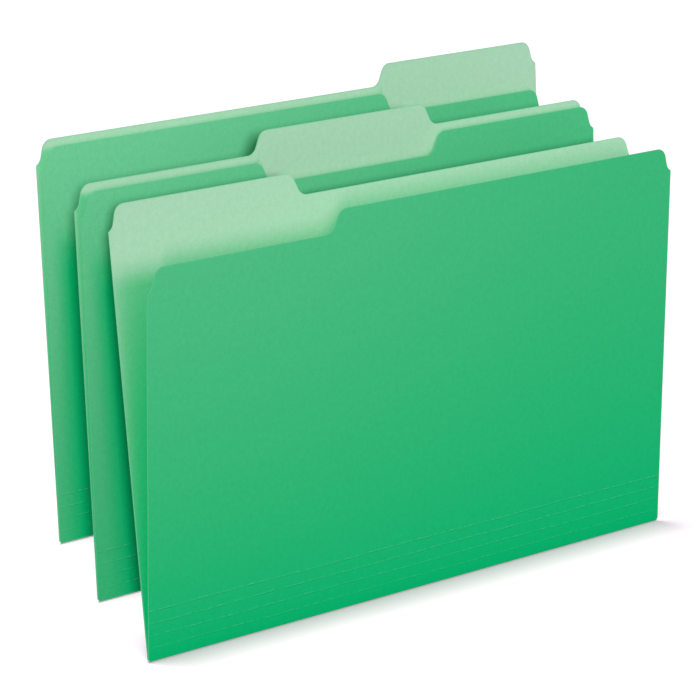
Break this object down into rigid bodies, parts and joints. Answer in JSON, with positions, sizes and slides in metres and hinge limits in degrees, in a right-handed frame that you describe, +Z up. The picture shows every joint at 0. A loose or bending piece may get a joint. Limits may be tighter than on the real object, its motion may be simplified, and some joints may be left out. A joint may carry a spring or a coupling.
{
  "type": "interior file folder",
  "caption": "Standing set of scored one-third-cut paper file folders, each a back panel with a tab hinged at its fold to a lower front panel.",
  "frame": {"origin": "middle of the set's footprint, on the table", "axes": "+X along the folds to the right, +Y from the front folder to the rear one, +Z up"},
  "size_m": [0.424, 0.193, 0.2373],
  "materials": {
    "green_outside": "matte, deeper green outside face of coloured folder stock",
    "pale_green_inside": "matte, pale green inside face of the same stock"
  },
  "bodies": {
    "front_back_panel": {"front_back_panel": "pale_green_inside"},
    "front_fold_edge": {"front_fold_edge": "green_outside"},
    "front_gusset_strips": {"front_score_strip_1": "green_outside", "front_score_strip_2": "green_outside", "front_score_strip_3": "green_outside", "front_score_strip_4": "green_outside"},
    "front_front_panel": {"front_front_panel": "green_outside"},
    "middle_back_panel": {"middle_back_panel": "pale_green_inside"},
    "middle_fold_edge": {"middle_fold_edge": "green_outside"},
    "middle_gusset_strips": {"middle_score_strip_1": "green_outside", "middle_score_strip_2": "green_outside", "middle_score_strip_3": "green_outside", "middle_score_strip_4": "green_outside"},
    "middle_front_panel": {"middle_front_panel": "green_outside"},
    "rear_back_panel": {"rear_back_panel": "pale_green_inside"},
    "rear_fold_edge": {"rear_fold_edge": "green_outside"},
    "rear_gusset_strips": {"rear_score_strip_1": "green_outside", "rear_score_strip_2": "green_outside", "rear_score_strip_3": "green_outside", "rear_score_strip_4": "green_outside"},
    "rear_front_panel": {"rear_front_panel": "green_outside"}
  },
  "joints": [
    {"name": "front_cover_fold", "type": "hinge", "parent": "front_back_panel", "child": "front_fold_edge", "pos_m": [-0.02465, -0.0958, 0.00038], "axis": [1, 0, 0], "range_deg": [-8.1, 95]},
    {"name": "front_gusset", "type": "hinge", "parent": "front_fold_edge", "child": "front_gusset_strips", "pos_m": [-0.02465, -0.09638, 0.00048], "axis": [-1, 0, 0], "range_deg": [-80, 0]},
    {"name": "front_score_4", "type": "hinge", "parent": "front_gusset_strips", "child": "front_front_panel", "pos_m": [-0.02465, -0.09368, 0.02792], "axis": [-1, 0, 0], "range_deg": [0, 80]},
    {"name": "middle_folder_lift", "type": "slide", "parent": "front_back_panel", "child": "middle_back_panel", "axis": [0, 0, 1], "range_m": [0, 0.25]},
    {"name": "middle_cover_fold", "type": "hinge", "parent": "middle_back_panel", "child": "middle_fold_edge", "pos_m": [-0.00285, -0.0213, 0.00038], "axis": [1, 0, 0], "range_deg": [-1.4, 10]},
    {"name": "middle_gusset", "type": "hinge", "parent": "middle_fold_edge", "child": "middle_gusset_strips", "pos_m": [-0.00285, -0.02188, 0.00048], "axis": [-1, 0, 0], "range_deg": [-80, 0]},
    {"name": "middle_score_4", "type": "hinge", "parent": "middle_gusset_strips", "child": "middle_front_panel", "pos_m": [-0.00285, -0.01756, 0.02771], "axis": [-1, 0, 0], "range_deg": [0, 80]},
    {"name": "rear_folder_lift", "type": "slide", "parent": "front_back_panel", "child": "rear_back_panel", "axis": [0, 0, 1], "range_m": [0, 0.25]},
    {"name": "rear_cover_fold", "type": "hinge", "parent": "rear_back_panel", "child": "rear_fold_edge", "pos_m": [0.02465, 0.0529, 0.00038], "axis": [1, 0, 0], "range_deg": [-1.4, 10]},
    {"name": "rear_gusset", "type": "hinge", "parent": "rear_fold_edge", "child": "rear_gusset_strips", "pos_m": [0.02465, 0.05232, 0.00048], "axis": [-1, 0, 0], "range_deg": [-80, 0]},
    {"name": "rear_score_4", "type": "hinge", "parent": "rear_gusset_strips", "child": "rear_front_panel", "pos_m": [0.02465, 0.05664, 0.02771], "axis": [-1, 0, 0], "range_deg": [0, 80]}
  ],
  "couplings": [
    {"joint": "front_score_4", "follows": "front_gusset", "ratio": -1},
    {"joint": "middle_score_4", "follows": "middle_gusset", "ratio": -1},
    {"joint": "rear_score_4", "follows": "rear_gusset", "ratio": -1}
  ]
}
